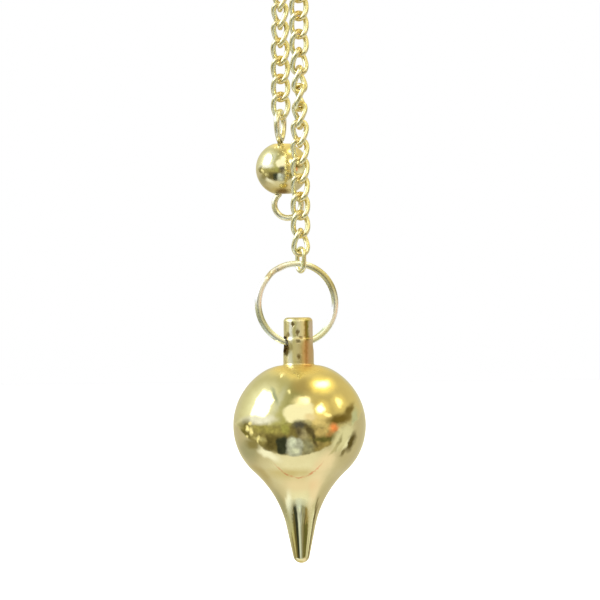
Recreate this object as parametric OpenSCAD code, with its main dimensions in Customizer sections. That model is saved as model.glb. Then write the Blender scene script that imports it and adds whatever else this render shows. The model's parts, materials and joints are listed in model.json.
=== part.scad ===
// Turned brass pendulum on a curb chain that hangs over a peg, with a bead at the chain's free end.
// The origin is the top of the peg, +Z is up, and the front, where the bob's strand hangs, is -Y.
// All sizes are in millimetres.

/* [Bob] */
// Diameter at the widest level
bob_d = 18.7; // [14:0.1:26]
// How much longer the dome's radius is than the bob's own
dome_flat = 0.1; // [0.05:0.05:2]
// Radius of the dome's shoulder beside the stem
shoulder_r = 6; // [5:0.1:7]
// Angle from the axis where the shoulder runs into the dome
shoulder_angle = 33; // [25:1:40]
// How far the belly's arc is centred off the axis
belly_inset = 0.6; // [0.1:0.05:2]
// Height from the tip to the foot of the stem
body_h = 27.9; // [26:0.1:40]
// Radius of the hollow curve that runs into the point
waist_r = 14.4; // [8:0.1:20]
// Angle between the point's side and the axis
point_angle = 11.7; // [8:0.1:14]
// Radius of the rounded tip
tip_r = 1.18; // [0.6:0.01:1.5]

/* [Stem] */
// Diameter of the stem
stem_d = 4.3; // [3.8:0.1:5]
// How much smaller the stem's diameter is above its step
stem_step = 0.2; // [0.05:0.05:0.3]
// Height of the step above the hole's axis
step_rise = 0.8; // [0.5:0.1:1.2]
// Height of the stem above the dome
stem_h = 6.7; // [5.6:0.1:10]
// Rounding of the stem's upper edge
stem_round = 0.6; // [0.1:0.05:0.8]
// Fillet between the stem and the dome
foot_fillet = 0.25; // [0.1:0.05:0.5]
// Diameter of the hole across the stem
hole_d = 2.4; // [2.2:0.1:2.8]
// Depth of the hole's axis below the stem's top
hole_drop = 3.8; // [2.6:0.1:4]
// Width of the chamfer at the hole's mouths
hole_chamfer = 0.1; // [0.05:0.05:0.3]

/* [Split ring] */
// Outer diameter of the ring
ring_d = 12.1; // [11:0.1:16]
// Thickness of the ring's wire along the ring's radius
ring_wire_h = 0.85; // [0.6:0.05:0.9]
// Width of one coil along the ring's axis
ring_wire_w = 0.45; // [0.3:0.05:0.5]
// Gap between the two coils
coil_gap = 0.05; // [0.04:0.01:0.1]
// How far the ring hangs to the left of the chain's line
ring_aside = 0.65; // [0:0.05:0.7]
// How far the bob hangs to the left of the chain's line
bob_aside = 0.45; // [0:0.05:0.7]
// Lean of the bob in the ring's plane, tip to the right
bob_lean = 0.4; // [0:0.1:1]
// Turn of the ring and the bob round the vertical, left side forward
ring_turn = 16; // [-5:1:30]
// Place of the step between the coils, round the ring from its right side
step_place = 135; // [100:1:160]

/* [Chain] */
// Width of a link
link_w = 2.8; // [2.7:0.05:3.2]
// Diameter of the links' wire
link_wire = 0.62; // [0.5:0.01:0.63]
// Distance from one link to the next
pitch = 2.55; // [2.5:0.05:3]
// Play between two links that pull on each other
link_play = 0.19; // [0.18:0.01:0.3]
// Twist of a link from its middle to either end
link_twist = 48; // [46:1:50]
// Squareness of a link's oval, where 2 is an ellipse
link_square = 2.7; // [2.4:0.1:3.2]
// Number of twisted links in the strand above the bob
bob_links = 36; // [20:1:60]
// Width of the plain link at the strand's lower end
end_link_w = 2.6; // [2.35:0.05:3.2]
// Turn of the plain link from square to the ring
end_link_turn = 12; // [0:1:20]
// Length of the plain link
end_link_l = 3.85; // [3.6:0.05:5]
// Number of links in the strand above the bead
bead_links = 28; // [12:1:60]
// Number of links that lie over the peg
arch_links = 5; // [5:1:8]
// Slip of the arch round the peg, which lowers the bead's strand
arch_slip = 7; // [0:1:15]
// Direction from the bob's strand to the bead's, seen from above
strand_turn = 109; // [95:1:125]

/* [Bead] */
// Diameter of the bead
bead_d = 7.5; // [5:0.1:9]
// Diameter of the hole through the bead
bead_hole_d = 2.2; // [2:0.1:2.5]
// Diameter of the eye pin's wire
pin_wire = 0.85; // [0.5:0.05:0.85]
// How far the pin stands to the left of the middle of the bead's hole
pin_aside = 0.25; // [0.15:0.05:0.3]
// How much farther to the left the pin leaves the bead than it enters it
pin_slant = 0.2; // [0:0.05:0.2]
// How far the pin hangs to the left of its strand's line
eye_aside = 0.1; // [0:0.05:0.15]
// Radius of the upper eye at the middle of its wire
upper_eye_r = 1.55; // [1.3:0.05:2]
// Height of the upper eye's centre above the bead's mouth
upper_eye_h = 2.95; // [2.5:0.05:4]
// Turn of the upper eye out of the front view
upper_eye_turn = 72; // [60:1:80]
// Radius of the lower eye at the middle of its wire
lower_eye_r = 1.9; // [1.7:0.02:2.4]
// How far the lower eye's centre lies to the right of the bead's axis
lower_eye_aside = 0.75; // [0.5:0.05:1]
// Depth of the lower eye's centre below the bead's mouth
lower_eye_drop = 1.5; // [1.45:0.05:2.2]
// Radius of the bends where the wire leaves the bead
neck_r = 0.5; // [0.45:0.05:0.6]

/* [Fits] */
// Clearance where one hanging piece bears on another
seat_gap = 0.1; // [0.08:0.01:0.15]

/* [Hidden] */
gold = [0.86, 0.71, 0.38];
$fn = 64;

// Turn of the twisted links round the strand, chosen by hand: link counted up from the bob, degrees
BOB_STRAND_TURNS = [
    [1, 196], [2, 170], [3, 159], [4, 147], [5, 143], [6, 135], [7, 122],
    [8, 98], [9, 69], [10, 41], [11, 15], [12, -10], [13, -19], [36, 0],
];
// The same for the bead's strand: link counted up from the bead, degrees
BEAD_STRAND_TURNS = [[1, 19], [2, 19], [3, 27], [4, 39], [5, 57], [6, 64], [9, 64], [28, 0]];
// Links over which a strand's turn fades out below the arch
fade_links = 16;

// Segments round a link, and sides of its wire and of the eye pin's
link_steps = 12;
wire_sides = 6;
pin_sides = 10;
// Degrees from one section to the next, in the ring and in the eye pin's bends
ring_step = 7.5;
pin_step = 12;
// Longest straight piece of the bob's outline, and the largest turn in one step of it
outline_step = 0.4;
outline_turn = 8;

// Points of an arc in the bob's outline: radius and height of its centre, radius, first and last angle
function arc(cx, cz, r, a0, a1) =
    let (n = ceil(max(r * abs(a1 - a0) * PI / 180 / outline_step, abs(a1 - a0) / outline_turn)))
    [for (k = [0 : n]) let (a = a0 + (a1 - a0) * k / n) [cx + r * cos(a), cz + r * sin(a)]];

// The bob's outline. Heights are measured up from the axis of the stem's hole.
bob_r = bob_d / 2;
stem_r = stem_d / 2;
stem_top_r = stem_r - stem_step / 2;
hole_r = hole_d / 2;
stem_foot = hole_drop - stem_h;
dome_r = bob_r + dome_flat;
belly_r = bob_r - belly_inset;
// The shoulder's arc touches the dome from inside
shoulder_x = (dome_r - shoulder_r) * sin(shoulder_angle);
shoulder_z = stem_foot - sqrt(shoulder_r ^ 2 - (stem_r - shoulder_x) ^ 2);
dome_z = shoulder_z - (dome_r - shoulder_r) * cos(shoulder_angle);
// The dome and the belly meet where both arcs have the same tangent
dome_end = acos(belly_inset / (dome_flat + belly_inset));
belly = [belly_inset, dome_z + (dome_r - belly_r) * sin(dome_end)];
tip = [0, stem_foot - body_h + tip_r];
// The waist's centre keeps its distance from the point's side and from the belly
side_out = [cos(point_angle), -sin(point_angle)];
side_up = [sin(point_angle), cos(point_angle)];
waist_from = tip + (tip_r + waist_r) * side_out - belly;
waist_up = -waist_from * side_up
    - sqrt((waist_from * side_up) ^ 2 - waist_from * waist_from + (belly_r + waist_r) ^ 2);
waist = belly + waist_from + waist_up * side_up;
belly_end = atan2(waist.y - belly.y, waist.x - belly.x);
fillet_x = stem_r + foot_fillet;
fillet_z = shoulder_z + sqrt((shoulder_r + foot_fillet) ^ 2 - (fillet_x - shoulder_x) ^ 2);
fillet_end = atan2(fillet_z - shoulder_z, fillet_x - shoulder_x);
bob_outline = concat(
    [[0, hole_drop]],
    arc(stem_top_r - stem_round, hole_drop - stem_round, stem_round, 90, 0),
    [[stem_top_r, step_rise + stem_step / 2], [stem_r, step_rise]],
    arc(fillet_x, fillet_z, foot_fillet, 180, 180 + fillet_end),
    arc(shoulder_x, shoulder_z, shoulder_r, fillet_end, 90 - shoulder_angle),
    arc(0, dome_z, dome_r, 90 - shoulder_angle, dome_end),
    arc(belly.x, belly.y, belly_r, dome_end, belly_end),
    arc(waist.x, waist.y, waist_r, belly_end + 180, 180 - point_angle),
    arc(tip.x, tip.y, tip_r, -point_angle, -90)
);

// Section of the ring's wire: a bar with its corners cut, along the radius and along the ring's axis
corner_cut = 0.12;
ring_half_h = ring_wire_h / 2;
ring_half_w = ring_wire_w / 2;
ring_section = [
    [ring_half_h, ring_half_w - corner_cut], [ring_half_h, corner_cut - ring_half_w],
    [ring_half_h - corner_cut, -ring_half_w], [corner_cut - ring_half_h, -ring_half_w],
    [-ring_half_h, corner_cut - ring_half_w], [-ring_half_h, ring_half_w - corner_cut],
    [corner_cut - ring_half_h, ring_half_w], [ring_half_h - corner_cut, ring_half_w],
];
ring_mid_r = (ring_d - ring_wire_h) / 2;
ring_inner_r = ring_d / 2 - ring_wire_h;
coil_offset = (ring_wire_w + coil_gap) / 2;
// The wire steps from the rear coil to the front one over this angle, and its ends stop short of the step
coil_step = 16;
coil_end = 5;

// The arch: the links are chords round the peg
bend = 180 / arch_links;
arch_r = pitch / 2 / sin(bend / 2);
link_half_w = (link_w - link_wire) / 2;
link_half_l = (pitch + link_play + link_wire) / 2;

// Middle line of a link, an oval along Z that is twisted round Z
function signed_power(v, p) = sign(v) * abs(v) ^ p;
link_middle = [
    for (k = [0 : link_steps - 1])
        let (
            t = 360 * k / link_steps,
            x = link_half_w * signed_power(cos(t), 2 / link_square),
            z = link_half_l * signed_power(sin(t), 2 / link_square),
            a = link_twist * z / link_half_l
        )
        [x * cos(a), x * sin(a), z]
];
chain_half_thick = max([for (p = link_middle) p.y]) + link_wire / 2;
// The peg fits under the arch's links, and its top is the origin
peg_r = arch_r * cos(bend / 2) - chain_half_thick - seat_gap;
across = [cos(strand_turn), sin(strand_turn), 0];
strand_out = arch_r * cos(arch_slip);
bob_strand_top = -strand_out * across + [0, 0, arch_r * sin(arch_slip) - peg_r];
bead_strand_top = strand_out * across + [0, 0, -arch_r * sin(arch_slip) - peg_r];

// One row for each link: its centre, the direction in which it points, 90 being up, and its turn
function fade(link, last) = min(1, (last + 1 - link) / fade_links);
bob_strand = [
    for (link = [1 : bob_links])
        [
            bob_strand_top - [0, 0, (bob_links - link + 0.5) * pitch],
            90,
            lookup(link, BOB_STRAND_TURNS) * fade(link, bob_links),
        ]
];
arch = [
    for (link = [0 : arch_links - 1])
        let (dir = 90 - arch_slip - (link + 0.5) * bend)
        [
            arch_r * cos(bend / 2) * (cos(dir + 90) * across + [0, 0, sin(dir + 90)]) - [0, 0, peg_r],
            dir,
            0,
        ]
];
bead_strand = [
    for (link = [bead_links : -1 : 1])
        [
            bead_strand_top - [0, 0, (bead_links - link + 0.5) * pitch],
            -90,
            lookup(link, BEAD_STRAND_TURNS) * fade(link, bead_links),
        ]
];

// The end link hangs from the strand's lowest link, and the ring bears on its lower bend
end_half_w = (end_link_w - link_wire) / 2;
end_half_l = (end_link_l - link_wire) / 2;
end_link_at = bob_strand_top - [0, 0, bob_links * pitch + end_half_l - (link_play + link_wire) / 2];
ring_hinge = end_link_at - [0, 0, end_half_l];
end_bend_r = end_half_w - link_wire / 2;
ring_half_flat = coil_offset + ring_half_w - corner_cut;
// The ring slopes where it bears, so it stands higher at one side of the link's wire
ring_slope = ring_aside / ring_mid_r;
ring_half_in_link = ring_half_flat * cos(end_link_turn) + link_wire / 2 * sin(end_link_turn);
ring_seat = link_wire / 2 * (1 + ring_slope) + end_bend_r
    - sqrt((end_bend_r - seat_gap) ^ 2 - ring_half_in_link ^ 2);
ring_z = ring_seat + ring_wire_h / 2 - sqrt(ring_mid_r ^ 2 - ring_aside ^ 2);
// The ring bears on the hole's upper wall at the mouth that lies farther from the ring's middle
mouth_out = stem_r - hole_chamfer + abs(ring_aside - bob_aside);
mouth_rise = ring_inner_r - sqrt(ring_inner_r ^ 2 - mouth_out ^ 2);
hole_seat = sqrt(hole_r ^ 2 - ring_half_flat ^ 2) - seat_gap - mouth_rise;
hole_z = ring_z - ring_inner_r - hole_seat;

// The bead hangs from the strand's lowest link by the pin's upper eye
bead_mouth = sqrt(bead_d ^ 2 - bead_hole_d ^ 2) / 2;
// The link's lower bend rises to its sides, so the eye sits higher where it hangs aside
bend_rise = 0.3;
eye_seat = (link_wire + pin_wire) / 2 + seat_gap + eye_aside * bend_rise;
bead_drop = upper_eye_r + upper_eye_h + bead_mouth - eye_seat;
pin_at = bead_strand_top - [eye_aside, 0, bead_links * pitch + (link_play + link_wire) / 2 + bead_drop];
// The upper eye's legs leave the bead's mouth at this lean, then curve up to the eye's half circle
leg_lean = 2 * atan2(upper_eye_r, upper_eye_h);
leg_r = upper_eye_r / (1 - cos(leg_lean)) - neck_r;
// The free leg stops where its inner edge comes near the other leg
leg_inner_r = leg_r - pin_wire / 2;
leg_centres = 2 * (leg_r - upper_eye_r);
leg_gap = 2 * seat_gap;
free_leg_turn = acos(
    (leg_centres ^ 2 + 2 * leg_inner_r * leg_gap - leg_gap ^ 2) / (2 * leg_inner_r * leg_centres)
);
// The lower eye runs on from an opposite bend and ends clear of the bead
neck_across = lower_eye_aside + pin_aside + pin_slant + neck_r;
neck_down = sqrt((neck_r + lower_eye_r) ^ 2 - neck_across ^ 2);
neck_turn = atan2(neck_down, neck_across);
neck_start = lower_eye_drop - neck_down;
eye_to_bead = norm([lower_eye_aside, lower_eye_drop + bead_mouth]);
clear_of_bead = bead_d / 2 + pin_wire / 2 + 2 * seat_gap;
eye_stop = acos((eye_to_bead ^ 2 + lower_eye_r ^ 2 - clear_of_bead ^ 2) / (2 * eye_to_bead * lower_eye_r));
eye_lean = atan2(lower_eye_aside, lower_eye_drop + bead_mouth);
lower_eye_sweep = 270 + neck_turn - eye_stop + eye_lean;

// Faces between the sections of a wire, and over its ends
function sleeve_faces(count, sides, closed = false) = [
    for (k = [0 : closed ? count - 1 : count - 2])
        for (s = [0 : sides - 1])
            let (a = k * sides, b = (k + 1) % count * sides, s2 = (s + 1) % sides)
            each [[a + s, a + s2, b + s2], [a + s, b + s2, b + s]]
];
function end_faces(count, sides) = [
    [for (s = [sides - 1 : -1 : 0]) s],
    [for (s = [0 : sides - 1]) (count - 1) * sides + s],
];

// Points round a link's middle line
function unit(v) = v / norm(v);
function round_section(middle, k) =
    let (
        n = len(middle),
        along = unit(middle[(k + 1) % n] - middle[(k + n - 1) % n]),
        out = unit(middle[k] - (middle[k] * along) * along),
        side = cross(out, along)
    )
    [
        for (s = [0 : wire_sides - 1])
            let (a = 360 * s / wire_sides)
            middle[k] + link_wire / 2 * (cos(a) * out + sin(a) * side)
    ];
link_points = [for (k = [0 : link_steps - 1]) each round_section(link_middle, k)];
link_faces = sleeve_faces(link_steps, wire_sides, closed = true);

// Turns and moves a link's points to its row in the chain
function placed(points, row) =
    let (
        up = cos(row[1]) * across + [0, 0, sin(row[1])],
        out = -sin(row[1]) * across + [0, 0, cos(row[1])],
        wide = cross(out, up),
        x_axis = cos(row[2]) * wide + sin(row[2]) * out,
        y_axis = cos(row[2]) * out - sin(row[2]) * wide
    )
    [for (p = points) row[0] + p.x * x_axis + p.y * y_axis + p.z * up];

module links(rows) {
    for (row = rows) polyhedron(points = placed(link_points, row), faces = link_faces);
}

// Middle line of a wire that starts upward at a height and follows its steps: [x, height, lean from up].
// A step is [radius, turn towards +X], or [0, length] for a straight stretch.
function bent(steps, at, k = 0) =
    k == len(steps) ? [at] : let (
        r = steps[k][0],
        turn = steps[k][1],
        n = r == 0 ? 1 : ceil(abs(turn) / pin_step),
        centre = [at[0], at[1]] + sign(turn) * r * [cos(at[2]), -sin(at[2])],
        line = [
            for (i = [0 : n])
                let (a = at[2] + (r == 0 ? 0 : turn * i / n))
                r == 0
                    ? [at[0] + turn * i * sin(a), at[1] + turn * i * cos(a), a]
                    : [centre[0] - sign(turn) * r * cos(a), centre[1] + sign(turn) * r * sin(a), a]
        ]
    )
    concat([for (i = [0 : n - 1]) line[i]], bent(steps, line[n], k + 1));

// A section of the eye pin: its place in a plane that is turned round the pin, and the wire's lean there
function pin_section(x, z, lean, plane) =
    let (right = [cos(plane), sin(plane), 0], back = [-sin(plane), cos(plane), 0])
    [
        for (s = [0 : pin_sides - 1])
            let (a = 360 * s / pin_sides)
            x * right + [0, 0, z] + pin_wire / 2 * (
                cos(a) * (cos(lean) * right - [0, 0, sin(lean)]) + sin(a) * back
            )
    ];

module bob() {
    at = [-bob_aside, 0, hole_z];
    color(gold) translate(ring_hinge) rotate(ring_turn) translate(at) rotate([0, -bob_lean, 0]) difference() {
        rotate_extrude() polygon(bob_outline);
        rotate([0, 90, 0]) cylinder(d = hole_d, h = 2 * stem_d, center = true);
        for (side = [-1, 1])
            translate([side * (stem_r - hole_chamfer), 0, 0]) rotate([0, side * 90, 0])
                cylinder(r1 = hole_r, r2 = hole_r + stem_r, h = stem_r);
    }
}

// One wire that goes round twice and steps from the rear coil to the front one
module split_ring() {
    first = coil_step / 2 + coil_end;
    before = 360 - coil_step / 2;
    n = round((before - first) / ring_step);
    lap = [for (k = [0 : n]) first + (before - first) * k / n];
    turns = concat(lap, [for (k = [1 : 3]) before + coil_step * k / 4], [for (a = lap) a + 360 - coil_end]);
    function shift(turn) = let (f = max(0, min(1, (turn - before) / coil_step))) f * f * (3 - 2 * f);
    points = [
        for (turn = turns)
            for (s = ring_section)
                let (r = ring_mid_r + s.x, a = turn + step_place)
                [r * cos(a), s.y + coil_offset * (1 - 2 * shift(turn)), r * sin(a)]
    ];
    faces = concat(sleeve_faces(len(turns), len(ring_section)), end_faces(len(turns), len(ring_section)));
    color(gold) translate(ring_hinge) rotate(ring_turn) translate([-ring_aside, 0, ring_z])
        polyhedron(points = points, faces = faces);
}

// Plain oval link that stands across the ring
module end_link() {
    straight = 2 * (end_half_l - end_half_w);
    turn = ring_turn + 90 + end_link_turn;
    color(gold) translate(end_link_at) rotate([90, 0, turn]) for (end = [0, 180]) rotate(end) {
        translate([0, straight / 2]) rotate_extrude(angle = 180)
            translate([end_half_w, 0]) circle(d = link_wire);
        translate([end_half_w, 0]) rotate([90, 0, 0]) cylinder(d = link_wire, h = straight, center = true);
    }
}

module bob_chain() {
    color(gold) links(bob_strand);
}

module bead_chain() {
    color(gold) links(concat(arch, bead_strand));
}

module bead() {
    color(gold) translate(pin_at + [pin_aside, 0, 0]) difference() {
        sphere(d = bead_d);
        cylinder(d = bead_hole_d, h = 2 * bead_d, center = true);
    }
}

// One wire through the bead: the upper eye closes on itself, the lower eye stays open on the right
module eye_pin() {
    upper = bent(
        [[neck_r, -leg_lean], [leg_r, leg_lean], [upper_eye_r, 180], [leg_r, free_leg_turn]],
        [0, bead_mouth, 0]
    );
    lower = bent([[neck_r, -neck_turn], [lower_eye_r, lower_eye_sweep]], [0, bead_mouth + neck_start, 0]);
    sections = concat(
        [
            for (k = [len(upper) - 1 : -1 : 0])
                pin_section(upper[k][0], upper[k][1], upper[k][2], upper_eye_turn)
        ],
        [
            for (k = [1 : 5])
                let (f = k / 6)
                pin_section(-pin_slant * f, bead_mouth * (1 - 2 * f), 0, upper_eye_turn * (1 - f))
        ],
        [for (p = lower) pin_section(p[0] - pin_slant, -p[1], -p[2], 0)]
    );
    faces = concat(sleeve_faces(len(sections), pin_sides), end_faces(len(sections), pin_sides));
    color(gold) translate(pin_at)
        polyhedron(points = [for (section = sections) each section], faces = faces);
}

bob();
split_ring();
end_link();
bob_chain();
bead_chain();
bead();
eye_pin();
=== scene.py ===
"""Polished brass pendulum on a curb chain that hangs over a peg, with a bead at the chain's free end.
Lengths are in millimetres until a mesh is made, and the frame is in metres."""
import json
import math
from typing import NamedTuple

import bmesh
import bpy
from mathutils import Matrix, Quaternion, Vector


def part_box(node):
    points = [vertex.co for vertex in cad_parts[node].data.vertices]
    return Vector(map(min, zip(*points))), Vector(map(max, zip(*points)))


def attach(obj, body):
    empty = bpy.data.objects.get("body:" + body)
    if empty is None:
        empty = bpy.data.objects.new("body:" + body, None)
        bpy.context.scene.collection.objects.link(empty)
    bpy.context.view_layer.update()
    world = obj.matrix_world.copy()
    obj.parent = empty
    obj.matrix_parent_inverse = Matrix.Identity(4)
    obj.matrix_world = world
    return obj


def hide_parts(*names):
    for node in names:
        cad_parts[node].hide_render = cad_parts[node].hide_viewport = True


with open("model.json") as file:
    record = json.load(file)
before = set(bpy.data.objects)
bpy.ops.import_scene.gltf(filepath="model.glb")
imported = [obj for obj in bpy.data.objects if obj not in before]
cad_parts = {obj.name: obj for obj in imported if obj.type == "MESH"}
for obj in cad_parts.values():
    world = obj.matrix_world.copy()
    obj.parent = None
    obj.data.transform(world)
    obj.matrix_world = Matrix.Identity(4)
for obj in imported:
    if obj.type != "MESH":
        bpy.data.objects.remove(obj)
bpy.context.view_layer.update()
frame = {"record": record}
MM = 0.001
TINY = 1e-5
UP = Vector((0, 0, 1))


# Sizes, the same as the frame's

LINK_W, LINK_WIRE, PITCH, PLAY = 2.8, 0.62, 2.55, 0.19
LINK_TWIST, LINK_SQUARE = 48, 2.7
ARCH_LINKS, ARCH_SLIP, STRAND_TURN = 5, 7, 109
BOB_LINKS, BEAD_LINKS, FADE_LINKS = 36, 28, 16
SEAT_GAP = 0.1
BOB_TURNS = [
    (1, 196), (2, 170), (3, 159), (4, 147), (5, 143), (6, 135), (7, 122),
    (8, 98), (9, 69), (10, 41), (11, 15), (12, -10), (13, -19), (36, 0),
]
BEAD_TURNS = [(1, 19), (2, 19), (3, 27), (4, 39), (5, 57), (6, 64), (9, 64), (28, 0)]
RING_TURN = math.radians(16)
RING_D, RING_H, RING_W, COIL_GAP = 12.1, 0.85, 0.45, 0.05
STEP_PLACE, COIL_STEP, COIL_END = 135, 16, 5
END_W, END_L, END_TURN = 2.6, 3.85, math.radians(12)
BOB_D, DOME_FLAT, BELLY_INSET, BODY_H = 18.7, 0.1, 0.6, 27.9
SHOULDER_R, SHOULDER_ANGLE = 6, 33
WAIST_R, POINT_ANGLE, TIP_R = 14.4, 11.7, 1.18
STEM_D, STEM_STEP, STEP_RISE, STEM_H, STEM_ROUND, FOOT_FILLET = 4.3, 0.2, 0.8, 6.7, 0.6, 0.25
HOLE_R, HOLE_DROP, HOLE_CHAMFER = 1.2, 3.8, 0.1
BOB_LEAN = math.radians(0.4)
BEAD_D, BEAD_HOLE_D, BEAD_RIM = 7.5, 2.2, 0.07
PIN_WIRE, PIN_ASIDE, PIN_SLANT = 0.85, 0.25, 0.2
UPPER_R, UPPER_H, UPPER_TURN = 1.55, 2.95, 72
LOWER_R, LOWER_ASIDE, LOWER_DROP, NECK_R = 1.9, 0.75, 1.5, 0.5

# Fineness of the drawn pieces: steps along and sides round a wire, segments round an axis, degrees of an arc
LINK_STEPS, LINK_SIDES = 44, 14
END_STEPS, END_SIDES = 20, 16
RING_STEPS, RING_SIDES = 300, 20
PIN_STEPS, PIN_SIDES = 18, 20
BOB_SEGMENTS, BEAD_SEGMENTS, HOLE_SEGMENTS = 176, 128, 96
BOB_ARC, BEAD_ARC = 1.5, 2.0
SHARP, BOB_SHARP = math.radians(32), math.radians(28)

# A drawn link's wire fills most of the clearance that the frame's loose links keep
SEEN_WIRE = 0.75
# Where along a link, as a share of its half length, the painted shade of the overlapping next link starts
OVERLAP_SHADE_START, OVERLAP_SHADE_SPREAD = 0.74, 0.2
# The ring's wire has rounded corners, and its two ends narrow over a short length
RING_SQUARE_H, RING_SQUARE_W = 0.8, 0.85
RING_END, RING_END_SIZE = 0.08, 0.82


def sind(a):
    return math.sin(math.radians(a))


def cosd(a):
    return math.cos(math.radians(a))


def clamp(v):
    return max(0, min(1, v))


def powered(v, power):
    """A power that keeps the sign."""
    return math.copysign(abs(v) ** power, v)


def tabled(x, rows):
    """Straight-line value of a table of (x, value) rows."""
    if x <= rows[0][0]:
        return rows[0][1]
    for (x0, y0), (x1, y1) in zip(rows, rows[1:]):
        if x <= x1:
            return y0 + (y1 - y0) * (x - x0) / (x1 - x0)
    return rows[-1][1]


# Meshes

def add_object(name, data):
    item = bpy.data.objects.new(name, data)
    bpy.context.scene.collection.objects.link(item)
    return item


def to_mesh(name, bm):
    mesh = bpy.data.meshes.new(name)
    bm.to_mesh(mesh)
    bm.free()
    return mesh


def add_piece(name, body, bm, material, replaces):
    bmesh.ops.recalc_face_normals(bm, faces=bm.faces)
    for f in bm.faces:
        f.smooth = True
    mesh = to_mesh(name, bm)
    mesh.set_sharp_from_angle(angle=SHARP)
    piece = add_object(name, mesh)
    piece.data.materials.append(material)
    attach(piece, body)
    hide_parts(*replaces)
    return piece


def circle(count, start=0):
    """Angles evenly spread round a circle."""
    return [2 * math.pi * (k + start) / count for k in range(count)]


def wire_ring(centre, radius, out, side, sides):
    """Points round a wire, in the plane of the directions out and side."""
    return [centre + radius * (math.cos(a) * out + math.sin(a) * side) for a in circle(sides)]


def loft(bm, sections, closed=False):
    """A skin over equal rings of points, in millimetres, with flat ends unless it is closed."""
    rings = [[bm.verts.new(Vector(p) * MM) for p in ring] for ring in sections]
    count = len(rings)
    for k in range(count if closed else count - 1):
        a, b = rings[k], rings[(k + 1) % count]
        for s in range(len(a)):
            t = (s + 1) % len(a)
            bm.faces.new((a[s], a[t], b[t], b[s]))
    if not closed:
        bm.faces.new(rings[0])
        bm.faces.new(rings[-1])


def revolve(bm, outline, steps, place):
    """Turns (radius, height) points round the vertical. A point on the axis becomes a pole."""
    rings = []
    for r, z in outline:
        if r < TINY:
            rings.append([bm.verts.new(Vector(place((0, 0, z))) * MM)])
        else:
            rings.append([
                bm.verts.new(Vector(place((r * math.cos(a), r * math.sin(a), z))) * MM) for a in circle(steps)
            ])
    closed = len(rings[0]) > 1 and len(rings[-1]) > 1
    pairs = list(zip(rings, rings[1:])) + ([(rings[-1], rings[0])] if closed else [])
    for a, b in pairs:
        for k in range(steps):
            m = (k + 1) % steps
            if len(a) == 1:
                bm.faces.new((a[0], b[k], b[m]))
            elif len(b) == 1:
                bm.faces.new((a[k], a[m], b[0]))
            else:
                bm.faces.new((a[k], a[m], b[m], b[k]))


def arc(cx, cz, r, a0, a1, step, longest=0.35):
    """Points of an arc in an outline, evenly spread and no coarser than the two limits."""
    sweep = abs(a1 - a0)
    n = max(2, math.ceil(sweep / step), math.ceil(r * math.radians(sweep) / longest))
    angles = [a0 + (a1 - a0) * k / n for k in range(n + 1)]
    return [(cx + r * cosd(a), cz + r * sind(a)) for a in angles]


def upright(x, z0, z1, parts, count):
    """The first count points of an upright line in so many parts, without its start."""
    return [(x, z0 + (z1 - z0) * k / parts) for k in range(1, count + 1)]


def joined(*runs):
    """Outlines run together, without doubled points."""
    out = []
    for run in runs:
        for p in run:
            if not out or math.dist(out[-1], p) > TINY:
                out.append(p)
    return out


# Places, worked out as in the frame's source

HALF_W = (LINK_W - LINK_WIRE) / 2
HALF_L = (PITCH + PLAY + LINK_WIRE) / 2


def link_point(t):
    """Middle line of a link's wire, t degrees round from its side."""
    x = HALF_W * powered(cosd(t), 2 / LINK_SQUARE)
    z = HALF_L * powered(sind(t), 2 / LINK_SQUARE)
    a = LINK_TWIST * z / HALF_L
    return Vector((x * cosd(a), x * sind(a), z))


BEND = 180 / ARCH_LINKS
ARCH_R = PITCH / 2 / sind(BEND / 2)
HALF_THICK = max(link_point(30 * k).y for k in range(12)) + LINK_WIRE / 2
PEG_R = ARCH_R * cosd(BEND / 2) - HALF_THICK - SEAT_GAP
ACROSS = Vector((cosd(STRAND_TURN), sind(STRAND_TURN), 0))
STRAND_OUT = ARCH_R * cosd(ARCH_SLIP)
BOB_TOP = -STRAND_OUT * ACROSS + UP * (ARCH_R * sind(ARCH_SLIP) - PEG_R)
BEAD_TOP = STRAND_OUT * ACROSS + UP * (-ARCH_R * sind(ARCH_SLIP) - PEG_R)


def strand_link(k, top, links, turns, lean):
    """Middle, lean and turn of link k of a strand, counted from its lower end. The turn fades to 0 above."""
    turn = tabled(k, turns) * min(1, (links + 1 - k) / FADE_LINKS)
    return top - UP * ((links - k + 0.5) * PITCH), lean, turn


def arch_link(k):
    """Middle, lean and turn of link k of the arch over the peg."""
    lean = 90 - ARCH_SLIP - (k + 0.5) * BEND
    way = cosd(lean + 90) * ACROSS + sind(lean + 90) * UP
    return ARCH_R * cosd(BEND / 2) * way - UP * PEG_R, lean, 0


BOB_ROWS = [strand_link(k, BOB_TOP, BOB_LINKS, BOB_TURNS, 90) for k in range(1, BOB_LINKS + 1)]
BEAD_ROWS = [arch_link(k) for k in range(ARCH_LINKS)]
BEAD_ROWS += [strand_link(k, BEAD_TOP, BEAD_LINKS, BEAD_TURNS, -90) for k in range(BEAD_LINKS, 0, -1)]

END_HALF_W, END_HALF_L = (END_W - LINK_WIRE) / 2, (END_L - LINK_WIRE) / 2
END_AT = BOB_TOP - UP * (BOB_LINKS * PITCH + END_HALF_L - (PLAY + LINK_WIRE) / 2)
RING_MID_R = (RING_D - RING_H) / 2
ring_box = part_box("split_ring")
RING_AT = (ring_box[0] + ring_box[1]) / 2 / MM
joints = {j["name"]: j for j in frame["record"]["behaviour"]["joints"]}
HOLE_AT = Vector(joints["bob_swing"]["pos_m"]) / MM
bead_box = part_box("bead")
BEAD_AT = (bead_box[0] + bead_box[1]) / 2 / MM
BEAD_MOUTH = math.sqrt(BEAD_D ** 2 - BEAD_HOLE_D ** 2) / 2


# Materials

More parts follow.
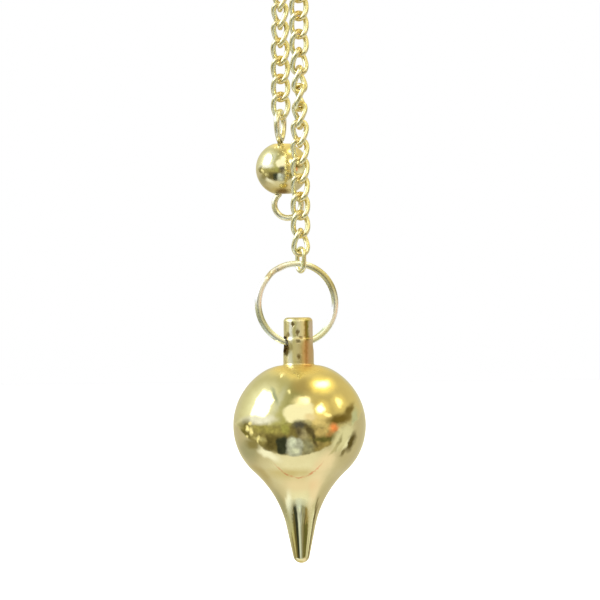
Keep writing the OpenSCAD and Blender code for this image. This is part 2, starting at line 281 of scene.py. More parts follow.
class Tree:
    """Adds nodes to a material's or world's tree. A value is a socket to join or a plain value."""

    def __init__(self, owner):
        owner.use_nodes = True
        self.nodes, self.wires = owner.node_tree.nodes, owner.node_tree.links

    def give(self, socket, value):
        if isinstance(value, bpy.types.NodeSocket):
            self.wires.new(value, socket)
        else:
            socket.default_value = value

    def put(self, kind, *values, **settings):
        node = self.nodes.new("ShaderNode" + kind)
        for key, value in settings.items():
            setattr(node, key, value)
        for socket, value in zip(node.inputs, values):
            self.give(socket, value)
        return node

    def maths(self, kind, *values):
        return self.put("Math", *values, operation=kind).outputs[0]

    def vector(self, kind, *values):
        node = self.put("VectorMath", *values, operation=kind)
        return node.outputs["Value" if kind == "LENGTH" else "Vector"]

    def spread(self, value, low, high, to_low=0, to_high=1):
        """The value's place between low and high, eased, as a place between to_low and to_high."""
        node = self.put("MapRange", value, low, high, to_low, to_high, interpolation_type="SMOOTHSTEP")
        return node.outputs["Result"]

    def mix(self, factor, a, b):
        """Colour a where the factor is 0, and b where it is 1."""
        node = self.put("Mix", data_type="RGBA")
        for key, value in (("Factor", factor), ("A", a), ("B", b)):
            self.give(node.inputs[key], (*value, 1) if isinstance(value, tuple) else value)
        return node.outputs["Result"]

    def noise(self, place, scale, detail, roughness=0.5, across=None):
        """Noise of so many features a unit. across stretches it along the three axes."""
        if across:
            squeeze = self.put("Mapping", place)
            squeeze.inputs["Scale"].default_value = [1 / v for v in across]
            place = squeeze.outputs[0]
        node = self.put("TexNoise", place)
        for key, value in (("Scale", scale), ("Detail", detail), ("Roughness", roughness)):
            node.inputs[key].default_value = value
        return node

    def inside(self, place, middle, half, turn, soft, box=False):
        """1 inside an ellipsoid or rounded box that is turned about the third axis, and 0 outside it."""
        at = self.put("Mapping", place, vector_type="TEXTURE")
        at.inputs["Location"].default_value = middle
        at.inputs["Rotation"].default_value = (0, 0, math.radians(turn))
        at.inputs["Scale"].default_value = half
        at = at.outputs[0]
        if box:
            at = self.vector("MULTIPLY", at, at)
        return self.spread(self.vector("LENGTH", at), 1 + soft, 1 - soft)


class Patch(NamedTuple):
    """A place where the metal's colour is painted otherwise: mostly painted highlights, painted reflections
    and painted shade, and a few pits. Sizes and depth are in millimetres, the turn in degrees.
    """
    middle: tuple
    half: tuple
    colour: tuple
    rough: float
    soft: float
    depth: float = 0
    turn: float = 0


PATCH_SHIFT = 0.5  # how far noise moves the edge of a painted patch
STEM_BLEND, STEM_WAVES, STEM_ROUGH = 0.5, 0.016, (0.20, 0.32)
PIT_DEPTH, PIT_COLOUR = 0.02, (0.34, 0.28, 0.14)
# Colour of the painted reflection of a reddish line on the bob's front
REFLECTED_LINE_COLOUR = (0.76, 0.32, 0.16)


def brass(
    name, tint, dull, rough, peel, marks, lines=0, stem=None, patches=(), overlap_shade_colour=None, metal=1, reflected_line_at=None
):
    """Polished brass. tint and dull are its two colours, and rough its lowest and highest roughness. peel is
    the depth of its soft waviness, marks that of fine handling marks, and lines that of turned rings. Above
    the height stem the metal is left as machined. The overlap colour is painted shade where links overlap,
    metal is lower where the polish has more haze, and the last argument is the lowest point of a painted
    reflection of a reddish line on the bob's front, which needs patches too. Depths and heights are in
    millimetres, and noise scales per metre."""
    mat = bpy.data.materials.new(name)
    tree = Tree(mat)
    maths, spread, mix = tree.maths, tree.spread, tree.mix
    shader = tree.nodes["Principled BSDF"]
    shader.inputs["Metallic"].default_value = metal
    place = tree.put("TexCoord").outputs["Object"]

    def noise(scale, detail, across=None):
        return tree.noise(place, scale, detail, 0.6, across).outputs["Fac"]

    colour = mix(spread(noise(220, 4), 0.4, 0.72), tint, dull)
    roughness = spread(noise(900, 6), 0.35, 0.75, *rough)
    layers = [(noise(520, 2), peel), (noise(9000, 3, (1, 1, 6)), marks)]
    if lines:
        layers.append((noise(5200, 2, (50, 50, 1)), lines))
    if stem:
        height = tree.put("SeparateXYZ", place).outputs["Z"]
        on_stem = spread(height, stem * MM, (stem + STEM_BLEND) * MM)
        machined = spread(noise(1300, 3), 0.3, 0.7, *STEM_ROUGH)
        roughness = maths("ADD", roughness, maths("MULTIPLY", on_stem, machined))
        layers.append((maths("MULTIPLY", on_stem, noise(1100, 4, (1, 1, 3))), STEM_WAVES))
        pits = maths("MULTIPLY", on_stem, spread(noise(1900, 2, (1, 1, 1.5)), 0.68, 0.76))
        colour = mix(maths("MULTIPLY", pits, 0.8), colour, PIT_COLOUR)
        layers.append((maths("MULTIPLY", pits, -1), PIT_DEPTH))
    # Painted shade where one link overlaps the next
    if overlap_shade_colour:
        overlap_shade = tree.put("Attribute", attribute_name="overlap_shade").outputs["Fac"]
        patchy = spread(noise(1500, 2), 0.3, 0.7, 0.45, 1)
        colour = mix(maths("MULTIPLY", overlap_shade, patchy), colour, overlap_shade_colour)
    # Patches of painted light and shade, and pits, each with its own colour and roughness
    if patches:
        uneven = tree.noise(place, 2600, 2).outputs["Color"]
        moved = tree.vector("MULTIPLY_ADD", uneven, [PATCH_SHIFT * MM] * 3, place)
    for patch in patches:
        middle = [(v + PATCH_SHIFT / 2) * MM for v in patch.middle]
        mask = tree.inside(moved, middle, [v * MM for v in patch.half], patch.turn, patch.soft)
        colour = mix(mask, colour, patch.colour)
        kept = maths("MULTIPLY", roughness, maths("SUBTRACT", 1, mask))
        roughness = maths("ADD", kept, maths("MULTIPLY", mask, patch.rough))
        if patch.depth:
            layers.append((maths("MULTIPLY", mask, -1), patch.depth))
    if reflected_line_at:
        # A painted reflection of a reddish line: a curve that rises to both sides, fades there, and shows on
        # the front alone
        sockets = tree.put("SeparateXYZ", moved).outputs
        x, y, z = (maths("SUBTRACT", value, (v + PATCH_SHIFT / 2) * MM) for value, v in zip(sockets, reflected_line_at))
        rise = maths("MULTIPLY", maths("MULTIPLY", x, x), 0.18 / MM)
        line = spread(maths("ABSOLUTE", maths("SUBTRACT", z, rise)), 0.21 * MM, 0.04 * MM, 0, 0.8)
        line = maths("MULTIPLY", line, spread(maths("ABSOLUTE", x), 4 * MM, 1.8 * MM))
        line = maths("MULTIPLY", line, spread(y, 2 * MM, 1 * MM))
        line = maths("MULTIPLY", line, spread(noise(900, 2), 0.35, 0.6, 0.2, 1))
        colour = mix(line, colour, REFLECTED_LINE_COLOUR)
    tree.give(shader.inputs["Base Color"], colour)
    tree.give(shader.inputs["Roughness"], roughness)
    normal = None
    for height, depth in layers:
        bump = tree.put("Bump")
        bump.inputs["Strength"].default_value = 1
        bump.inputs["Distance"].default_value = depth * MM
        tree.give(bump.inputs["Height"], height)
        if normal:
            tree.give(bump.inputs["Normal"], normal)
        normal = bump.outputs["Normal"]
    tree.give(shader.inputs["Normal"], normal)
    return mat


def placed(patches, origin):
    return [s._replace(middle=origin + Vector(s.middle)) for s in patches]


def ring_painted_light(place, half, colour):
    """A patch of painted light round the ring's wire, lighter or darker by its colour, place degrees from the
    ring's right side.
    """
    way = Vector((cosd(place) * math.cos(RING_TURN), cosd(place) * math.sin(RING_TURN), sind(place)))
    return Patch(RING_AT + RING_MID_R * way, (half, half, half), colour, 0.20, 0.4)


# Painted highlights, reflections and shade on the bob, and a few pits
# Measured from the middle of the stem's hole. The stem's front is 2 mm before it, and the tip 31 mm below.
BOB_PAINTED_LIGHT_AND_PITS = [
    # Painted shade at the foot of the stem, and painted reflections on the belly and the point's sides
    Patch((0.0, -2.6, -3.25), (3.4, 3.6, 1.2), (0.80, 0.66, 0.28), 0.46, 0.6),
    Patch((0.0, -5.0, -19.7), (2.3, 5.0, 0.95), (0.86, 0.70, 0.38), 0.12, 0.7),
    Patch((0.2, -3.0, -22.15), (1.6, 2.7, 0.60), (1.0, 0.97, 0.60), 0.30, 0.8),
    Patch((-1.40, -1.2, -24.2), (0.60, 2.0, 3.4), (1.0, 0.98, 0.62), 0.34, 0.6),
    Patch((1.45, -1.2, -24.0), (0.45, 2.0, 3.0), (1.0, 0.94, 0.58), 0.30, 0.6),
    # Broad patches of painted reflection and painted highlight on the stem, below and above its step
    Patch((0.0, -2.0, -1.5), (1.15, 2.0, 1.8), (0.80, 0.68, 0.34), 0.28, 0.5),
    Patch((-1.10, -1.8, -2.1), (0.42, 1.5, 1.1), (1.0, 0.96, 0.76), 0.28, 0.6),
    Patch((1.35, -1.4, -1.1), (0.85, 2.0, 2.4), (0.77, 0.53, 0.28), 0.36, 0.5),
    Patch((1.08, -1.6, -0.9), (0.17, 1.5, 2.0), (0.60, 0.42, 0.19), 0.34, 0.6),
    Patch((0.30, -2.0, 2.1), (0.60, 1.5, 1.7), (1.0, 0.93, 0.62), 0.50, 0.5),
    Patch((-0.2, -2.0, -0.9), (0.60, 1.5, 1.7), (0.88, 0.77, 0.42), 0.46, 0.5),
    Patch((1.18, -1.5, 2.2), (0.33, 2.0, 1.6), (0.35, 0.33, 0.08), 0.30, 0.5),
    Patch((-1.05, -1.75, 1.9), (0.26, 1.3, 1.5), (1.0, 0.97, 0.86), 0.40, 0.6),
    # Round the hole's mouth: the ring's painted shadow above it, and painted shade below it
    Patch((-1.42, -1.5, 1.40), (0.24, 1.0, 0.34), (0.36, 0.27, 0.10), 0.35, 0.6),
    Patch((-1.70, -1.3, 0.95), (0.26, 1.0, 0.30), (0.40, 0.30, 0.12), 0.35, 0.6),
    Patch((-1.10, -1.8, -0.3), (0.30, 1.2, 0.62), (0.50, 0.42, 0.18), 0.4, 0.5),
    Patch((-1.70, -1.0, -0.72), (0.50, 1.8, 0.86), (0.15, 0.11, 0.03), 0.4, 0.25),
    # The stem's rim, painted darker to dim its reflection, and a painted reflection on its right edge
    Patch((0.0, 0.0, 3.85), (3.0, 3.0, 0.40), (0.70, 0.64, 0.42), 0.50, 0.5),
    Patch((1.85, -1.0, 2.0), (0.40, 1.2, 1.6), (0.88, 0.72, 0.58), 0.35, 0.6),
    # Dark pits, and painted shade in the bore
    Patch((-0.75, -1.9, 2.80), (0.20, 1.2, 0.36), (0.22, 0.16, 0.06), 0.4, 0.4, 0.05),
    Patch((-0.10, -2.0, 1.65), (0.24, 1.2, 0.42), (0.36, 0.27, 0.12), 0.4, 0.6, 0.03),
    Patch((0.35, -2.0, 0.95), (0.30, 1.2, 0.14), (0.42, 0.32, 0.16), 0.4, 0.6, 0.03),
    Patch((-0.02, -2.0, 0.45), (0.30, 1.2, 0.24), (0.44, 0.36, 0.18), 0.4, 0.7, 0.03),
    Patch((0.05, -2.0, -1.75), (0.26, 1.2, 0.36), (0.34, 0.25, 0.09), 0.4, 0.6, 0.03),
    Patch((0.0, 0.0, 0.0), (30, HOLE_R, HOLE_R), (0.30, 0.20, 0.07), 0.45, 0.04, turn=16),
]
# Painted highlights and painted shade along the ring
RING_PAINTED_LIGHT = [
    ring_painted_light(44, 2.7, (0.68, 0.64, 0.37)),
    ring_painted_light(126, 1.7, (0.83, 0.79, 0.66)),
    ring_painted_light(166, 1.9, (1.0, 1.0, 0.99)),
    ring_painted_light(208, 2.0, (0.72, 0.76, 0.56)),
    ring_painted_light(-14, 1.7, (1.0, 1.0, 0.99)),
    ring_painted_light(-52, 1.6, (0.93, 0.98, 0.76)),
]
# Measured from the bead's middle: painted shade over its lower part, and painted shadow at the mouth of its
# hole
BEAD_PAINTED_SHADE = [
    Patch((-0.4, -2.4, -3.0), (3.0, 2.6, 1.5), (0.66, 0.57, 0.27), 0.18, 0.8),
    Patch((0.0, -1.6, -3.25), (0.85, 1.4, 0.50), (0.26, 0.17, 0.06), 0.30, 0.5),
]
BOB_BRASS = brass(
    "bob_brass", tint=(0.86, 0.78, 0.44), dull=(0.82, 0.73, 0.40), rough=(0.05, 0.10), peel=0.012,
    marks=0.0003, lines=0.0005, stem=HOLE_AT.z - 2.85, patches=placed(BOB_PAINTED_LIGHT_AND_PITS, HOLE_AT),
    reflected_line_at=(0.755, HOLE_AT.y - 4, -126.1))
RING_BRASS = brass(
    "ring_brass", tint=(0.95, 1.0, 0.93), dull=(0.89, 0.95, 0.85), rough=(0.13, 0.22), peel=0.004,
    marks=0.0003, metal=0.90, patches=RING_PAINTED_LIGHT)
CHAIN_BRASS = brass(
    "chain_brass", tint=(0.95, 0.92, 0.62), dull=(0.90, 0.86, 0.52), rough=(0.20, 0.36), peel=0.006,
    marks=0.0005, metal=0.975, overlap_shade_colour=(0.85, 0.68, 0.31))
BEAD_BRASS = brass(
    "bead_brass", tint=(0.93, 0.86, 0.55), dull=(0.87, 0.79, 0.46), rough=(0.13, 0.20), peel=0.012,
    marks=0.0004, patches=placed(BEAD_PAINTED_SHADE, BEAD_AT))
PIN_BRASS = brass(
    "pin_brass", tint=(0.95, 0.93, 0.72), dull=(0.88, 0.82, 0.54), rough=(0.20, 0.32), peel=0.005,
    marks=0.0004, metal=0.95)


# Chain

def link_rings():
    """Rings of points round one link's wire, inside the frame's outline."""
    slim = 1 - (SEEN_WIRE - LINK_WIRE) / 2 / HALF_W
    middle = [link_point(360 * (k + 0.5) / LINK_STEPS) for k in range(LINK_STEPS)]
    middle = [Vector((p.x * slim, p.y * slim, p.z)) for p in middle]
    rings = []
    for k in range(LINK_STEPS):
        along = (middle[(k + 1) % LINK_STEPS] - middle[k - 1]).normalized()
        out = (middle[k] - middle[k].dot(along) * along).normalized()
        rings.append(wire_ring(middle[k], SEEN_WIRE / 2, out, out.cross(along), LINK_SIDES))
    return rings


def add_links(name, rows, replaces):
    bm = bmesh.new()
    overlap_shade = bm.verts.layers.float.new("overlap_shade")
    rings = link_rings()
    for at, lean, turn in rows:
        up = cosd(lean) * ACROSS + sind(lean) * UP
        out = -sind(lean) * ACROSS + cosd(lean) * UP
        wide = out.cross(up)
        x_axis = cosd(turn) * wide + sind(turn) * out
        y_axis = cosd(turn) * out - sind(turn) * wide
        loft(bm, [[at + p.x * x_axis + p.y * y_axis + p.z * up for p in ring] for ring in rings], closed=True)
    # How near a point is to the next link
    heights = [abs(sum(p.z for p in ring)) / LINK_SIDES / HALF_L for ring in rings]
    near = [clamp((height - OVERLAP_SHADE_START) / OVERLAP_SHADE_SPREAD) for height in heights]
    for k, v in enumerate(bm.verts):
        v[overlap_shade] = near[k // LINK_SIDES % LINK_STEPS]
    add_piece(name, "chain", bm, CHAIN_BRASS, replaces)


add_links("curb_chain_to_bob", BOB_ROWS, ["bob_chain"])
add_links("curb_chain_to_bead", BEAD_ROWS, ["bead_chain"])


def add_end_link():
    turn = RING_TURN + END_TURN
    side_way = Vector((-math.sin(turn), math.cos(turn), 0))
    flat_way = Vector((math.cos(turn), math.sin(turn), 0))
    straight = END_HALF_L - END_HALF_W
    bend = [180 * k / END_STEPS for k in range(END_STEPS + 1)]
    sections = []
    for a, lift in [(t, straight) for t in bend] + [(t + 180, -straight) for t in bend]:
        out = cosd(a) * side_way + sind(a) * UP
        centre = END_AT + UP * lift + END_HALF_W * out
        sections.append(wire_ring(centre, LINK_WIRE / 2, out, flat_way, END_SIDES))
    bm = bmesh.new()
    loft(bm, sections, closed=True)
    add_piece("end_link_wire", "chain", bm, CHAIN_BRASS, ["end_link"])


add_end_link()


# Split ring: two coils of flat wire with rounded corners

def add_ring():
    first, last = COIL_STEP / 2 + COIL_END, 720 - COIL_STEP / 2 - COIL_END
    before = 360 - COIL_STEP / 2
    offset = (RING_W + COIL_GAP) / 2
    way_x = Vector((math.cos(RING_TURN), math.sin(RING_TURN), 0))
    way_y = Vector((-math.sin(RING_TURN), math.cos(RING_TURN), 0))
    shape = [
        (RING_H / 2 * powered(math.cos(a), RING_SQUARE_H), RING_W / 2 * powered(math.sin(a), RING_SQUARE_W))
        for a in circle(RING_SIDES, 0.5)
    ]
    sections = []
    for k in range(RING_STEPS + 1):
        turn = first + (last - first) * k / RING_STEPS
        f = clamp((turn - before) / COIL_STEP)
        aside = offset * (1 - 2 * f * f * (3 - 2 * f))
        to_end = min(turn - first, last - turn) * math.radians(1) * RING_MID_R
        size = 1
        if to_end <= RING_END:
            size = RING_END_SIZE + (1 - RING_END_SIZE) * math.sqrt(max(0, 1 - (1 - to_end / RING_END) ** 2))
        out = cosd(turn + STEP_PLACE) * way_x + sind(turn + STEP_PLACE) * UP
        sections.append([
            RING_AT + (RING_MID_R + size * u) * out + (size * v + aside) * way_y for u, v in shape
        ])
    bm = bmesh.new()
    loft(bm, sections)
    piece = add_piece("split_ring_coils", "ring", bm, RING_BRASS, ["split_ring"])
    piece.visible_glossy = False  # the dome's image of it doesn't show in the photograph


add_ring()


# Bob

def bob_outline():
    """The bob's outline from its top to its tip. Heights are measured from the axis of the stem's hole."""
    stem_r = STEM_D / 2
    top_r = stem_r - STEM_STEP / 2
    foot = HOLE_DROP - STEM_H
    dome_r, belly_r = BOB_D / 2 + DOME_FLAT, BOB_D / 2 - BELLY_INSET
    shoulder_x = (dome_r - SHOULDER_R) * sind(SHOULDER_ANGLE)
    shoulder_z = foot - math.sqrt(SHOULDER_R ** 2 - (stem_r - shoulder_x) ** 2)
    dome_z = shoulder_z - (dome_r - SHOULDER_R) * cosd(SHOULDER_ANGLE)
    dome_end = math.degrees(math.acos(BELLY_INSET / (DOME_FLAT + BELLY_INSET)))
    belly = Vector((BELLY_INSET, dome_z + (dome_r - belly_r) * sind(dome_end)))
    tip = Vector((0, foot - BODY_H + TIP_R))
    side_out = Vector((cosd(POINT_ANGLE), -sind(POINT_ANGLE)))
    side_up = Vector((sind(POINT_ANGLE), cosd(POINT_ANGLE)))
    start = tip + (TIP_R + WAIST_R) * side_out - belly
    slant = start.dot(side_up)
    rise = -slant - math.sqrt(slant ** 2 - start.dot(start) + (belly_r + WAIST_R) ** 2)
    waist = belly + start + rise * side_up
    belly_end = math.degrees(math.atan2(waist.y - belly.y, waist.x - belly.x))
    fillet_x = stem_r + FOOT_FILLET
    fillet_z = shoulder_z + math.sqrt((SHOULDER_R + FOOT_FILLET) ** 2 - (fillet_x - shoulder_x) ** 2)
    fillet_end = math.degrees(math.atan2(fillet_z - shoulder_z, fillet_x - shoulder_x))
    round_z = HOLE_DROP - STEM_ROUND
    return joined(
        [(0, HOLE_DROP), (0.8, HOLE_DROP), (top_r - STEM_ROUND, HOLE_DROP)],
        arc(top_r - STEM_ROUND, round_z, STEM_ROUND, 90, 0, 9),
        upright(top_r, round_z, STEP_RISE + 0.14, 10, 10),
        # The step, softened by the polish
        [(top_r + 0.03, STEP_RISE + 0.06), (stem_r - 0.02, STEP_RISE + 0.01), (stem_r, STEP_RISE - 0.04)],
        upright(stem_r, STEP_RISE - 0.04, foot + 0.31, 12, 11),
        arc(fillet_x, fillet_z, FOOT_FILLET, 180, 180 + fillet_end, 8),
        arc(shoulder_x, shoulder_z, SHOULDER_R, fillet_end, 90 - SHOULDER_ANGLE, BOB_ARC),
        arc(0, dome_z, dome_r, 90 - SHOULDER_ANGLE, dome_end, BOB_ARC),
        arc(belly.x, belly.y, belly_r, dome_end, belly_end, BOB_ARC),
        arc(waist.x, waist.y, WAIST_R, belly_end + 180, 180 - POINT_ANGLE, BOB_ARC),
        arc(tip.x, tip.y, TIP_R, -POINT_ANGLE, -90, 6),
    )


def add_bob():
    turned = Quaternion((0, 0, 1), RING_TURN) @ Quaternion((0, 1, 0), -BOB_LEAN)

    def place(p):
        return HOLE_AT + turned @ Vector(p)

    bm = bmesh.new()
    revolve(bm, bob_outline(), BOB_SEGMENTS, place)
    body = add_piece("bob_body", "bob", bm, BOB_BRASS, ["bob"])
    # The cutter for the hole, a bar that widens at both mouths and reaches past the stem
    mouth, reach = STEM_D / 2 - HOLE_CHAMFER, 3.2
    wide = HOLE_R + reach - mouth
    cutter_outline = [
        (0, -reach), (wide, -reach), (HOLE_R, -mouth), (HOLE_R, mouth), (wide, reach), (0, reach)
    ]
    bm = bmesh.new()
    revolve(bm, cutter_outline, HOLE_SEGMENTS, lambda p: place((p[2], p[0], p[1])))
    bmesh.ops.recalc_face_normals(bm, faces=bm.faces)
    cutter = add_object("hole_cutter", to_mesh("hole_cutter", bm))
    cut = body.modifiers.new("stem_hole", "BOOLEAN")
    cut.operation, cut.solver, cut.object = "DIFFERENCE", "EXACT", cutter
    seen = body.evaluated_get(bpy.context.evaluated_depsgraph_get())
    cut_mesh = bpy.data.meshes.new_from_object(seen)
    body.modifiers.clear()
    body.data = cut_mesh
    for f in cut_mesh.polygons:
        f.use_smooth = True
    cut_mesh.set_sharp_from_angle(angle=BOB_SHARP)
    bpy.data.objects.remove(cutter)


add_bob()


# Bead and eye pin

def add_bead():
    bore, r = BEAD_HOLE_D / 2, BEAD_D / 2
    rim_x = bore + BEAD_RIM
    lean = math.degrees(math.acos(rim_x / (r - BEAD_RIM)))
    rim_z = (r - BEAD_RIM) * sind(lean)
    outline = joined(
        arc(0, 0, r, lean, -lean, BEAD_ARC),
        arc(rim_x, -rim_z, BEAD_RIM, -lean, -180, 18),
        upright(bore, -rim_z, rim_z, 10, 9),
        arc(rim_x, rim_z, BEAD_RIM, 180, lean, 18),
    )
    bm = bmesh.new()
    revolve(bm, outline[:-1], BEAD_SEGMENTS, lambda p: Vector(p) + BEAD_AT)
    add_piece("bead_ball", "chain", bm, BEAD_BRASS, ["bead"])


add_bead()


def bent(steps, at):
    """Middle line of a wire that starts upward and follows its steps, as in the frame's source."""
    line = [at]
    for r, turn in steps:
        x, z, lean = line[-1]
        s = math.copysign(1, turn)
        cx, cz = x + s * r * cosd(lean), z - s * r * sind(lean)
        n = math.ceil(abs(turn) / 5)
        for k in range(1, n + 1):
            a = lean + turn * k / n
            line.append((cx - s * r * cosd(a), cz + s * r * sind(a), a))
    return line


def add_eye_pin():
    # The upper eye, whose legs narrow to a neck, and how far its free leg comes back to the other
    lean = 2 * math.degrees(math.atan2(UPPER_R, UPPER_H))
    leg_r = UPPER_R / (1 - cosd(lean)) - NECK_R
    inner, centres, gap = leg_r - PIN_WIRE / 2, 2 * (leg_r - UPPER_R), 2 * SEAT_GAP
    free_turn = math.degrees(math.acos((centres ** 2 + 2 * inner * gap - gap ** 2) / (2 * inner * centres)))
    # The lower eye, aside from the bead's hole, and the turn at which its end is clear of the bead
    across = LOWER_ASIDE + PIN_ASIDE + PIN_SLANT + NECK_R
    down = math.sqrt((NECK_R + LOWER_R) ** 2 - across ** 2)
    neck_turn = math.degrees(math.atan2(down, across))
    start = LOWER_DROP - down
    far = math.hypot(LOWER_ASIDE, LOWER_DROP + BEAD_MOUTH)
    clear = BEAD_D / 2 + PIN_WIRE / 2 + 2 * SEAT_GAP
    stop = math.degrees(math.acos((far ** 2 + LOWER_R ** 2 - clear ** 2) / (2 * far * LOWER_R)))
    sweep = 270 + neck_turn - stop + math.degrees(math.atan2(LOWER_ASIDE, LOWER_DROP + BEAD_MOUTH))
    upper = bent([(NECK_R, -lean), (leg_r, lean), (UPPER_R, 180), (leg_r, free_turn)], (0, BEAD_MOUTH, 0))
    lower = bent([(NECK_R, -neck_turn), (LOWER_R, sweep)], (0, BEAD_MOUTH + start, 0))
    # Rows of place aside and up, lean and plane. In the bead the wire slants, and turns from eye to eye.
    rows = [(x, z, a, UPPER_TURN) for x, z, a in reversed(upper)]
    for k in range(1, PIN_STEPS):
        f = k / PIN_STEPS
        rows.append((-PIN_SLANT * f, BEAD_MOUTH * (1 - 2 * f), 0, UPPER_TURN * (1 - f)))
    rows += [(x - PIN_SLANT, -z, -a, 0) for x, z, a in lower]
    at = BEAD_AT - Vector((PIN_ASIDE, 0, 0))
    sections = []
    for x, z, a, plane in rows:
        right = Vector((cosd(plane), sind(plane), 0))
        back = Vector((-sind(plane), cosd(plane), 0))
        out = cosd(a) * right - sind(a) * UP
        sections.append(wire_ring(at + x * right + z * UP, PIN_WIRE / 2, out, back, PIN_SIDES))
    # The cut ends are a little rounded, by three rings of a size and a distance back from the end
    for end, inner in ((0, 1), (-1, -2)):
        middle = sum(sections[end], Vector()) / PIN_SIDES
        way = (middle - sum(sections[inner], Vector()) / PIN_SIDES).normalized()
        rounded = [
            [middle + size * (p - middle) - inset * way for p in sections[end]]
            for size, inset in ((0.72, 0), (0.94, 0.03), (1, 0.09))
        ]
        if end == 0:
            sections[:1] = rounded
        else:
            sections[-1:] = reversed(rounded)
    bm = bmesh.new()
    loft(bm, sections)
    add_piece("eye_pin_wire", "chain", bm, PIN_BRASS, ["eye_pin"])


add_eye_pin()


# Floor

FLOOR_Z, FLOOR_HALF, FLOOR_CELLS = -0.172, 6.0, 24
FLOOR_COLOUR, FLOOR_ROUGH = (0.93, 0.93, 0.93, 1), 0.9


def add_floor():
    bm = bmesh.new()
    places = [FLOOR_HALF * (2 * k / FLOOR_CELLS - 1) for k in range(FLOOR_CELLS + 1)]
    verts = [[bm.verts.new((x, y, FLOOR_Z)) for y in places] for x in places]
    for near, far in zip(verts, verts[1:]):
        for j in range(FLOOR_CELLS):
            bm.faces.new((near[j], far[j], far[j + 1], near[j + 1]))
    floor = add_object("floor", to_mesh("floor", bm))
    mat = bpy.data.materials.new("floor_paper")
    shader = Tree(mat).nodes["Principled BSDF"]
    shader.inputs["Base Color"].default_value = FLOOR_COLOUR
    shader.inputs["Roughness"].default_value = FLOOR_ROUGH
    floor.data.materials.append(mat)
    floor.visible_glossy = False


add_floor()


# Studio: what a polished ball would show when it is looked at from the front

class Spot(NamedTuple):
    """A soft-edged patch of the room, an ellipse or a box with rounded corners. Its middle, x to the right
    and z up, and its half axes a and b are in ball radii. It is turned from level, in degrees."""
    colour: tuple
    x: float
    z: float
    a: float
    b: float
    turn: float = 0
    soft: float = 0.6
    box: bool = False
    amount: float = 1


# Pale backdrop round the rim, warm ceiling light to the upper right, and olive walls
BACKDROP = (0.64, 0.62, 0.50)
WALLS = [
    Spot((0.64, 0.63, 0.46), -0.5, 0.75, 0.5, 0.35, 30),
    Spot((1.12, 0.93, 0.42), 0.10, 0.86, 0.56, 0.24, -8),
    Spot((0.72, 0.61, 0.31), 0.46, 0.46, 0.50, 0.46, soft=0.4),
    Spot((0.56, 0.45, 0.19), 0.38, 0.33, 0.26, 0.15, soft=0.7, amount=0.6),
    Spot((0.40, 0.40, 0.21), -0.17, 0.43, 0.25, 0.29, 10, soft=0.5),
    Spot((0.46, 0.37, 0.17), 0.10, 0.63, 0.22, 0.11, amount=0.8),
    Spot((0.50, 0.51, 0.25), -0.28, 0.04, 0.24, 0.22, soft=0.5),
    Spot((0.88, 0.74, 0.42), 0.34, 0.02, 0.16, 0.17, soft=0.3, box=True),
]
# Window and its glow
WINDOW = [
    Spot((0.76, 0.78, 0.58), -0.58, 0.34, 0.50, 0.27, 64),
    Spot((0.70, 0.75, 0.72), -0.34, 0.34, 0.24, 0.045, 64, soft=0.7),
    Spot((0.50, 0.48, 0.28), -0.42, 0.68, 0.22, 0.10, 14, amount=0.7),
    Spot((1.15, 1.21, 1.12), -0.575, 0.325, 0.33, 0.165, 64, soft=0.65),
    Spot((4.5, 4.6, 4.6), -0.555, 0.325, 0.225, 0.108, 64, soft=0.50, box=True),
    Spot((0.46, 0.54, 0.50), -0.372, 0.48, 0.130, 0.034, -72, soft=0.65),
]
# Dark side of the room, and the person and things in front of it
DARK_SIDE = [
    Spot((0.34, 0.31, 0.15), -0.66, -0.12, 0.26, 0.24, -20, soft=0.4),
    Spot((0.25, 0.22, 0.10), -0.03, -0.22, 0.62, 0.25, soft=0.26),
    Spot((0.44, 0.42, 0.17), -0.50, -0.05, 0.22, 0.06, -8),
    Spot((1.05, 1.12, 1.40), -0.60, 0.100, 0.23, 0.068, 4),
    Spot((0.14, 0.12, 0.05), -0.43, -0.27, 0.13, 0.12, -15, soft=0.5),
    Spot((0.60, 0.49, 0.26), 0.36, -0.10, 0.16, 0.065, soft=0.5),
    Spot((0.30, 0.27, 0.13), -0.56, -0.20, 0.05, 0.12, 10),
    Spot((0.42, 0.44, 0.16), -0.22, -0.05, 0.055, 0.085, 20, soft=0.5),
    Spot((0.36, 0.30, 0.14), 0.34, -0.27, 0.18, 0.12, 15, soft=0.5),
    Spot((1.14, 1.14, 1.04), -0.01, 0.225, 0.225, 0.145, 12, soft=0.28, box=True),
    Spot((1.00, 0.88, 0.70), 0.16, 0.15, 0.09, 0.06, soft=0.5),
    Spot((0.40, 0.37, 0.28), 0.05, -0.14, 0.080, 0.11, soft=0.5),
    Spot((0.11, 0.11, 0.115), 0.00, 0.015, 0.100, 0.070, soft=0.5),
    Spot((0.15, 0.13, 0.09), -0.01, -0.08, 0.045, 0.07),
    Spot((0.12, 0.10, 0.055), 0.14, -0.06, 0.12, 0.042, -58),
    Spot((0.045, 0.055, 0.042), -0.26, -0.31, 0.090, 0.150, 4, soft=0.40, box=True),
    Spot((0.34, 0.35, 0.28), 0.11, -0.34, 0.10, 0.13, soft=0.5),
    Spot((0.48, 0.53, 0.60), -0.075, -0.34, 0.120, 0.15, soft=0.40, box=True),
    Spot((0.80, 0.92, 1.05), -0.11, -0.26, 0.045, 0.080),
    Spot((0.74, 0.84, 0.90), -0.08, -0.40, 0.075, 0.045),
    Spot((0.10, 0.085, 0.05), 0.22, -0.20, 0.030, 0.13, 12),
    Spot((0.15, 0.15, 0.055), 0.37, -0.215, 0.15, 0.045, soft=0.5),
    Spot((0.60, 0.58, 0.36), -0.60, -0.205, 0.075, 0.030, -12, soft=0.7),
]
